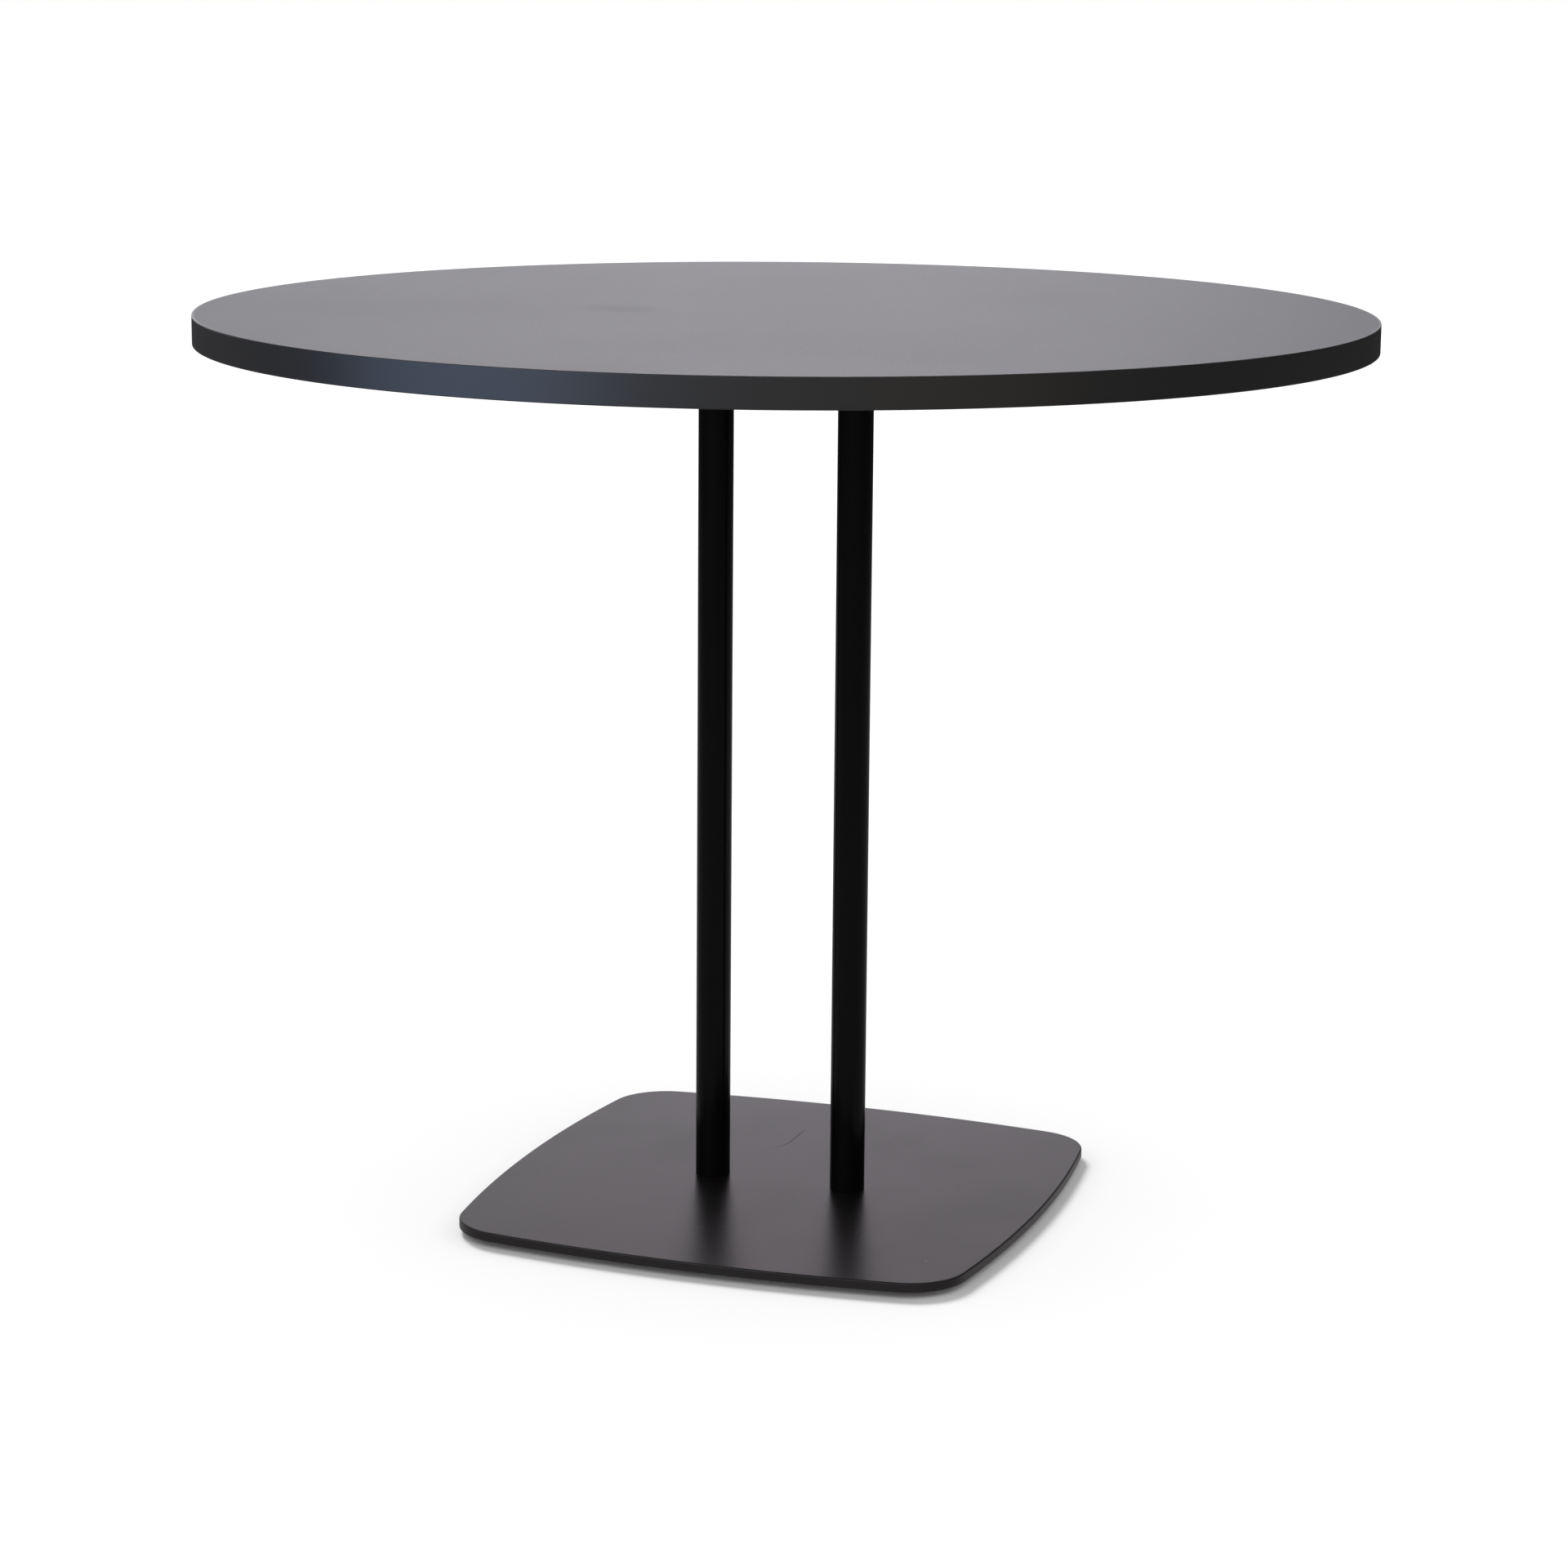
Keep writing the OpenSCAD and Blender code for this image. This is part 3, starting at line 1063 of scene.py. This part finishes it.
@dataclass
class BasePlate(PlateStock):
    """The bowed square steel plate on the floor.

    Attributes:
        width: Width across the middles of its sides.
        side_r: Radius of the bowed sides.
        side_steps: Steps along a side.
        corner_r: Radius of the corners.
        corner_steps: Steps round a corner.
        arris: Radius that its upper and lower edges are eased by.
        arris_steps: Steps round an eased edge.
        shelf: Width of the flat strip that the swept edge takes in.
        bolt_r: Radius of a bolt hole.
        sink_r: Radius of its countersink.
        glide_xy: Distance of the glide holes from the middle, along X and Y.
        glide_r: Radius of a glide hole.
        glide_depth: Depth of a glide hole.
    """

    width: float = 0.455
    side_r: float = 1.3
    side_steps: int = 28
    corner_r: float = 0.05
    corner_steps: int = 18
    arris: float = 0.001
    arris_steps: int = 4
    shelf: float = 0.0006
    bolt_r: float = 0.0055
    sink_r: float = 0.01
    glide_xy: float = 0.1775
    glide_r: float = 0.00405
    glide_depth: float = 0.0065

    def build(self) -> None:
        """Build the plate."""
        coat = self.finishes.foot_plate
        self.piece("foot_plate", self._plate(), coat, Slot.POWDER_COAT, "base_plate")

    def _section(self) -> list[Pair]:
        """Draw the edge's cross-section.

        Returns:
            Its points from below, each an inset and a height.
        """
        low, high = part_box("base_plate")
        rise = [math.pi / 2.0 * i / self.arris_steps for i in range(self.arris_steps + 1)]
        eased = [(self.arris * (1.0 - math.sin(a)), self.arris * (1.0 - math.cos(a))) for a in rise]
        lower = [(inset, low.z + z) for inset, z in eased]
        upper = [(inset, high.z - z) for inset, z in reversed(eased)]
        shelf = self.arris + self.shelf
        return Profile([(shelf, low.z), *lower, *upper, (shelf, high.z)]).points

    def _rim(self, mesh: Mesh) -> None:
        """Sweep the cross-section along a side and a corner, four times round.

        Args:
            mesh: The empty plate.
        """
        side_off = self.side_r - self.width / 2.0
        reach = self.side_r - self.corner_r
        corner = (math.sqrt(2.0 * reach * reach - side_off * side_off) - side_off) / 2.0
        tangent = math.atan2(corner, corner + side_off)
        line = []
        for inset, z in self._section():
            radius = self.side_r - inset
            x = radius * math.cos(tangent) - side_off
            line.append(mesh.verts.new((x, -radius * math.sin(tangent), z)))
        line += [mesh.edges.new(pair) for pair in zip(line, line[1:])]
        sweeps = (
            ((-side_off, 0.0, 0.0), 2.0 * tangent, self.side_steps),
            ((corner, corner, 0.0), math.pi / 2.0 - 2.0 * tangent, self.corner_steps),
        )
        for centre, angle, steps in sweeps:
            swept = bmesh.ops.spin(mesh, geom=line, cent=centre, axis=UP, angle=angle, steps=steps)
            line = swept["geom_last"]
        quarter = list(mesh.verts) + list(mesh.edges) + list(mesh.faces)
        for count in (1, 2, 3):
            copied = bmesh.ops.duplicate(mesh, geom=quarter)["geom"]
            moved = [item for item in copied if isinstance(item, bmesh.types.BMVert)]
            turn = Matrix.Rotation(count * math.pi / 2.0, 3, "Z")
            bmesh.ops.rotate(mesh, verts=moved, cent=ORIGIN, matrix=turn)
        bmesh.ops.remove_doubles(mesh, verts=mesh.verts, dist=10.0 * SAME_PLACE)

    def _plate(self) -> Mesh:
        """Build the plate with its eased arrises and its holes.

        Returns:
            The plate.
        """
        low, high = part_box("base_plate")
        mesh = bmesh.new()
        self._rim(mesh)
        neck_z = low.z + self.sink_r - self.bolt_r
        self.bore_bolts(mesh, (self.sink_r, low.z), (self.bolt_r, neck_z), (self.bolt_r, high.z))
        end_z = low.z + self.glide_depth
        for x in (-self.glide_xy, self.glide_xy):
            for y in (-self.glide_xy, self.glide_xy):
                blind = self.bore(mesh, (x, y), (self.glide_r, low.z), (self.glide_r, end_z))
                bmesh.ops.triangle_fill(mesh, use_beauty=True, edges=blind, normal=UP)
        self.close(mesh, low.z, high.z)
        return mesh


@dataclass
class MountingHardware(PlateStock):
    """The steel plate under the top and its wood screws.

    Attributes:
        width: Width of the plate.
        corner_r: Radius of its corners.
        corner_steps: Steps round a corner.
        ease: Radius that its cut edges are eased by.
        ease_steps: Steps round an eased edge.
        bolt_r: Radius of a bolt hole.
        sink_r: Radius of its countersink.
        screw_xy: Distance of the screw rows from the middle.
        screw_r: Radius of a screw hole.
    """

    width: float = 0.3
    corner_r: float = 0.02
    corner_steps: int = 10
    ease: float = 0.0005
    ease_steps: int = 3
    bolt_r: float = 0.0045
    sink_r: float = 0.008
    screw_xy: float = 0.132
    screw_r: float = 0.003

    def build(self) -> None:
        """Build the mounting plate and dress the screws."""
        coat = self.finishes.mount
        self.piece("top_mounting_plate", self._plate(), coat, Slot.POWDER_COAT, "mounting_plate")
        self.dress(self.finishes.zinc, Slot.ZINC, "top_screws")

    def _blank(self, low: float, high: float) -> Mesh:
        """Cut the plate's outline and ease its edges.

        Args:
            low: Height of the lower face.
            high: Height of the upper face.
        Returns:
            The blank, its level faces open.
        """
        mesh = bmesh.new()
        size = Matrix.Diagonal((self.width, self.width, high - low, 1.0))
        place = Matrix.Translation((0.0, 0.0, (low + high) / 2.0))
        bmesh.ops.create_cube(mesh, size=1.0, matrix=place @ size)
        settings = {"offset_type": "OFFSET", "profile": 0.5, "affect": "EDGES", "material": -1}
        for upright, radius, steps in (
            (True, self.corner_r, self.corner_steps),
            (False, self.ease, self.ease_steps),
        ):
            rises = [(edge, abs(edge.verts[0].co.z - edge.verts[1].co.z)) for edge in mesh.edges]
            edges = [edge for edge, rise in rises if (rise > SAME_PLACE) == upright]
            bmesh.ops.bevel(mesh, geom=edges, offset=radius, segments=steps, **settings)
        level = [face for face in mesh.faces if len(face.verts) > 4 * self.corner_steps]
        bmesh.ops.inset_individual(mesh, faces=level, thickness=self.ease, use_even_offset=True)
        bmesh.ops.delete(mesh, geom=level, context="FACES")
        for z in (low + self.ease + Profile.FIRM, high - self.ease - Profile.FIRM):
            everything = list(mesh.verts) + list(mesh.edges) + list(mesh.faces)
            bmesh.ops.bisect_plane(mesh, geom=everything, plane_co=(0.0, 0.0, z), plane_no=UP)
        return mesh

    def _plate(self) -> Mesh:
        """Build the plate with its screw and bolt holes.

        Returns:
            The plate.
        """
        low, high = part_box("mounting_plate")
        mesh = self._blank(low.z, high.z)
        neck_z = high.z - self.sink_r + self.bolt_r
        self.bore_bolts(mesh, (self.bolt_r, low.z), (self.bolt_r, neck_z), (self.sink_r, high.z))
        rows = (-self.screw_xy, 0.0, self.screw_xy)
        for x in rows:
            for y in rows:
                if x or y:
                    self.bore(mesh, (x, y), (self.screw_r, low.z), (self.screw_r, high.z))
        self.close(mesh, low.z, high.z)
        return mesh


@dataclass
class Glides(SubAssembly):
    """The four screw-in glides.

    Attributes:
        corners: Names of the corners that they stand at.
        rounding: Radius that the edges of shells and soles are eased by.
    """

    corners: tuple[str, ...] = ("front_left", "front_right", "back_left", "back_right")
    rounding: float = 0.0002

    def build(self) -> None:
        """Dress every glide's stud, shell and sole."""
        looks = self.finishes
        for corner in self.corners:
            self.dress(looks.zinc, Slot.ZINC, f"glide_stud_{corner}")
            self.dress(looks.nylon, Slot.NYLON, f"glide_shell_{corner}", rounding=self.rounding)
            self.dress(looks.felt, Slot.SOLE, f"glide_sole_{corner}", rounding=self.rounding)


@dataclass(frozen=True)
class Glow:
    """Brightness of the low surround in one direction.

    Attributes:
        bearing: Degrees from the camera's side, positive towards its right.
        colour: Colour of the light from there.
    """

    bearing: float
    colour: Colour


@dataclass
class Surround:
    """Soft room light, as a reflection in the table meets it.

    A span is given in the rise of a direction, which is the sine of its angle
    above the horizon: first where a part of the room is gone, then where it is full.

    Attributes:
        azimuth: Direction of the camera from the table, from -Y towards +X, degrees.
        dome: Brightness of the even light that falls on matt faces.
        wall_low: Colour of the wall behind the table, near the horizon.
        wall_high: Colour of that wall higher up.
        wall_half: Half of the wall's breadth in degrees.
        wall_turn: How far the wall's middle lies towards the camera's right, degrees.
        wall_taper: How quickly the wall narrows upwards.
        wall_foot: Span of the wall's foot.
        wall_fade: Span over which its colour goes from low to high.
        side_fill: Brightness of the room beside the wall, above the horizon.
        side_span: Span of that fill.
        ground_far: Colour of the floor that reflections meet far off.
        ground_near: Colour of the floor that they meet close by.
        ground_span: Span of the floor.
        near_span: Span of its close part.
        overhead: Brightness of the ceiling.
        overhead_span: Span of the ceiling.
        gain: What the glows are multiplied by.
        glow_foot: Span of the glows' lower end.
        glow_head: Span of the glows' upper end.
        glows: Brightness round the horizon, from straight behind and back.
    """

    azimuth: float
    dome: float = 0.84
    wall_low: Colour = (3.05, 3.08, 3.3)
    wall_high: Colour = (0.385, 0.28, 0.328)
    wall_half: float = 29.2
    wall_turn: float = 0.4
    wall_taper: float = 3.0
    wall_foot: Pair = (-0.1, 0.02)
    wall_fade: Pair = (0.06, 0.32)
    side_fill: float = 0.16
    side_span: Pair = (0.08, 0.32)
    ground_far: Colour = (0.03, 0.029, 0.029)
    ground_near: Colour = (0.38, 0.366, 0.362)
    ground_span: Pair = (0.0, -0.12)
    near_span: Pair = (-0.125, -0.2)
    overhead: float = 0.6
    overhead_span: Pair = (0.4, 0.75)
    gain: float = 20.0
    glow_foot: Pair = (-0.06, 0.12)
    glow_head: Pair = (0.36, 0.12)
    glows: tuple[Glow, ...] = (
        Glow(-155.0, (0.11, 0.108, 0.115)),
        Glow(-135.0, (0.063, 0.063, 0.066)),
        Glow(-108.0, (0.032, 0.033, 0.036)),
        Glow(-90.0, (0.05, 0.051, 0.055)),
        Glow(-65.0, (0.14, 0.143, 0.153)),
        Glow(-30.0, (0.21, 0.214, 0.226)),
        Glow(-10.0, (0.156, 0.154, 0.159)),
        Glow(12.0, (0.12, 0.114, 0.108)),
        Glow(42.0, (0.054, 0.05, 0.047)),
        Glow(75.0, (0.004, 0.004, 0.004)),
        Glow(115.0, (0.0, 0.0, 0.0)),
    )

    def build(self) -> None:
        """Make the world."""
        world = bpy.data.worlds.new("studio_surround")
        world.use_nodes = True
        world.cycles.sampling_method = "NONE"
        bpy.context.scene.world = world
        sheet = NodeSheet(world.node_tree)
        around = sheet.add("ShaderNodeTexCoord").outputs["Generated"]
        turn = (0.0, 0.0, -math.radians(self.azimuth))
        aligned = sheet.add("ShaderNodeMapping", {"Vector": around, "Rotation": turn})
        path = sheet.add("ShaderNodeLightPath").outputs
        matt = sheet.math("GREATER_THAN", path["Diffuse Depth"], 0.5)
        lit = sheet.mix(matt, self._room(sheet, aligned.outputs[0]), (self.dome,) * 3)
        seen = sheet.mix(path["Is Camera Ray"], lit, (1.0, 1.0, 1.0))
        background = sheet.add("ShaderNodeBackground", {"Color": seen})
        sheet.add("ShaderNodeOutputWorld", {"Surface": background.outputs[0]})

    def _room(self, sheet: NodeSheet, direction: Socket) -> Socket:
        """Join the glows, the wall behind the table, the floor and the ceiling.

        Args:
            sheet: The world's node sheet.
            direction: Where a ray goes: to the camera's right, away from it and up.
        Returns:
            The colour that a reflection meets.
        """
        right, away, up = sheet.split(direction)
        glows = self._glows(sheet, direction)
        sides = sheet.mix(sheet.step(up, *self.side_span), glows, (self.side_fill,) * 3)
        wall = sheet.mix(sheet.step(up, *self.wall_fade), self.wall_low, self.wall_high)
        off = sheet.math("SUBTRACT", sheet.math("ARCTAN2", right, away), math.radians(self.wall_turn))
        aside = sheet.math("ABSOLUTE", sheet.times(off, sheet.plus(up, self.wall_taper, 1.0)))
        across = sheet.step(aside, math.radians(self.wall_half), 0.0)
        level = sheet.mix(sheet.times(across, sheet.step(up, *self.wall_foot)), sides, wall)
        ground = sheet.mix(sheet.step(up, *self.near_span), self.ground_far, self.ground_near)
        level = sheet.mix(sheet.step(up, *self.ground_span), level, ground)
        return sheet.mix(sheet.step(up, *self.overhead_span), level, (self.overhead,) * 3)

    def _glows(self, sheet: NodeSheet, direction: Socket) -> Socket:
        """Lay the glows round the horizon.

        Args:
            sheet: The world's node sheet.
            direction: Where a ray goes: to the camera's right, away from it and up.
        Returns:
            Their colour in that direction.
        """
        right, away, up = sheet.split(direction)
        bearing = sheet.math("ARCTAN2", right, sheet.times(away, -1.0))
        ramp = sheet.add("ShaderNodeValToRGB", {"Fac": sheet.plus(bearing, 1.0 / FULL_TURN, 0.5)})
        stops = ramp.color_ramp.elements
        for index, glow in enumerate(self.glows):
            stop = stops[index] if index < len(stops) else stops.new(1.0)
            stop.position = glow.bearing / 360.0 + 0.5
            stop.color = opaque(glow.colour)
        mask = sheet.times(sheet.step(up, *self.glow_foot), sheet.step(up, *self.glow_head))
        return sheet.scaled(ramp.outputs[0], sheet.times(mask, self.gain))


@dataclass(frozen=True)
class SoftSun:
    """A broad soft sun that only chosen objects take.

    Attributes:
        name: Name of the light.
        bearing: Degrees from the camera's side, positive towards its right.
        rise: Degrees above the horizon.
        spread: How wide the light looks, degrees.
        power: Strength of the light.
        colour: Colour of the light.
    """

    name: str
    bearing: float
    rise: float
    spread: float
    power: float
    colour: Colour = (1.0, 1.0, 1.0)

    def hang(self, azimuth: float, lit: list[bpy.types.Object], shading: list[bpy.types.Object]) -> None:
        """Hang the sun.

        Args:
            azimuth: Direction of the camera from the table, from -Y towards +X, degrees.
            lit: The objects that take its light.
            shading: The objects that shade them.
        """
        data = bpy.data.lights.new(self.name, "SUN")
        data.energy = self.power
        data.color = self.colour
        data.angle = math.radians(self.spread)
        light = put_in_scene(self.name, data)
        turn = math.radians(azimuth + self.bearing)
        rise = math.radians(self.rise)
        level = math.cos(rise)
        source = Vector((level * math.sin(turn), -level * math.cos(turn), math.sin(rise)))
        light.matrix_world = source.to_track_quat("Z", "Y").to_matrix().to_4x4()
        for role, members in (("receiver", lit), ("blocker", shading)):
            group = bpy.data.collections.new(f"{self.name}_{role}")
            for member in members:
                group.objects.link(member)
            setattr(light.light_linking, f"{role}_collection", group)


@dataclass
class Studio:
    """The pale floor, the soft light and the camera.

    Attributes:
        azimuth: Direction of the camera from the table, from -Y towards +X, degrees.
        distance: Distance of the camera from the table's axis.
        height: Height of the camera.
        pitch: How far the camera looks down, radians.
        roll: How far the camera leans, radians.
        yaw: How far the camera looks past the axis, radians.
        lens: Focal length in mm.
        sensor: Width of the sensor in mm.
        paper: Colour of the floor.
        floor_half: Half of the floor's width.
        key: Sun that only the floor takes, from the back left.
        rims: Suns that only the edge band takes.
    """

    azimuth: float = 19.325
    distance: float = 3.263
    height: float = 1.05591
    pitch: float = 0.21149
    roll: float = 0.00812
    yaw: float = 0.00033
    lens: float = 92.72
    sensor: float = 36.0
    paper: Colour = (0.86, 0.86, 0.86)
    floor_half: float = 20.0
    key: SoftSun = SoftSun("studio_key", -157.17399, 41.02411, 20.0, 2.45)
    rims: tuple[SoftSun, ...] = (
        SoftSun("studio_window", -61.0, 1.0, 54.0, 1.22, (0.43, 0.61, 1.0)),
        SoftSun("studio_lamp", 34.0, 1.0, 36.0, 0.05, (1.0, 0.65, 0.2)),
    )

    def build(self, low_pieces: list[bpy.types.Object], band: bpy.types.Object) -> None:
        """Build the studio.

        Args:
            low_pieces: Pieces near the floor, which shade it from the key sun.
            band: The edge band, which takes the rim suns.
        """
        self.key.hang(self.azimuth, [self._floor()], low_pieces)
        for rim in self.rims:
            rim.hang(self.azimuth, [band], [band])
        Surround(self.azimuth).build()
        self._camera()

    def _floor(self) -> bpy.types.Object:
        """Lay the pale floor, which is clear from below and shows in no reflection.

        Returns:
            The floor.
        """
        material = bpy.data.materials.new("studio_paper")
        material.use_nodes = True
        sheet = NodeSheet(material.node_tree)
        paper = sheet.add("ShaderNodeBsdfDiffuse", {"Color": opaque(self.paper)})
        clear = sheet.add("ShaderNodeBsdfTransparent")
        below = sheet.add("ShaderNodeNewGeometry").outputs["Backfacing"]
        shown = {0: below, 1: paper.outputs[0], 2: clear.outputs[0]}
        shader = sheet.add("ShaderNodeMixShader", shown)
        sheet.add("ShaderNodeOutputMaterial", {"Surface": shader.outputs[0]})
        mesh = bmesh.new()
        bmesh.ops.create_grid(mesh, x_segments=1, y_segments=1, size=self.floor_half)
        floor = mesh_object("studio_floor", mesh, material)
        floor.visible_glossy = False
        floor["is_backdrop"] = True
        return floor

    def _camera(self) -> None:
        """Set up the camera at the photograph's angle."""
        data = bpy.data.cameras.new("studio_camera")
        data.lens = self.lens
        data.sensor_width = self.sensor
        camera = put_in_scene("studio_camera", data)
        turn = math.radians(self.azimuth)
        stand = (self.distance * math.sin(turn), -self.distance * math.cos(turn), self.height)
        heading = Matrix.Rotation(turn - self.yaw, 4, "Z")
        tilt = Matrix.Rotation(math.pi / 2.0 - self.pitch, 4, "X")
        lean = Matrix.Rotation(self.roll, 4, "Z")
        camera.matrix_world = Matrix.Translation(stand) @ heading @ tilt @ lean
        bpy.context.scene.camera = camera
        bpy.context.scene.view_settings.view_transform = "Standard"


def main() -> None:
    """Build the table's looks and its studio."""
    logging.basicConfig(level=logging.INFO, format="%(name)s %(message)s")
    finishes = Finishes()
    for kind in (Tabletop, Columns, BasePlate, MountingHardware, Glides):
        log.info("sub-assembly %s", kind.__name__)
        kind(finishes).build()
    low_pieces = [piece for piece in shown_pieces() if piece.name.startswith(("foot_plate", "glide"))]
    Studio().build(low_pieces, bpy.data.objects["tabletop_edge_band"])


if __name__ == "__main__":
    main()
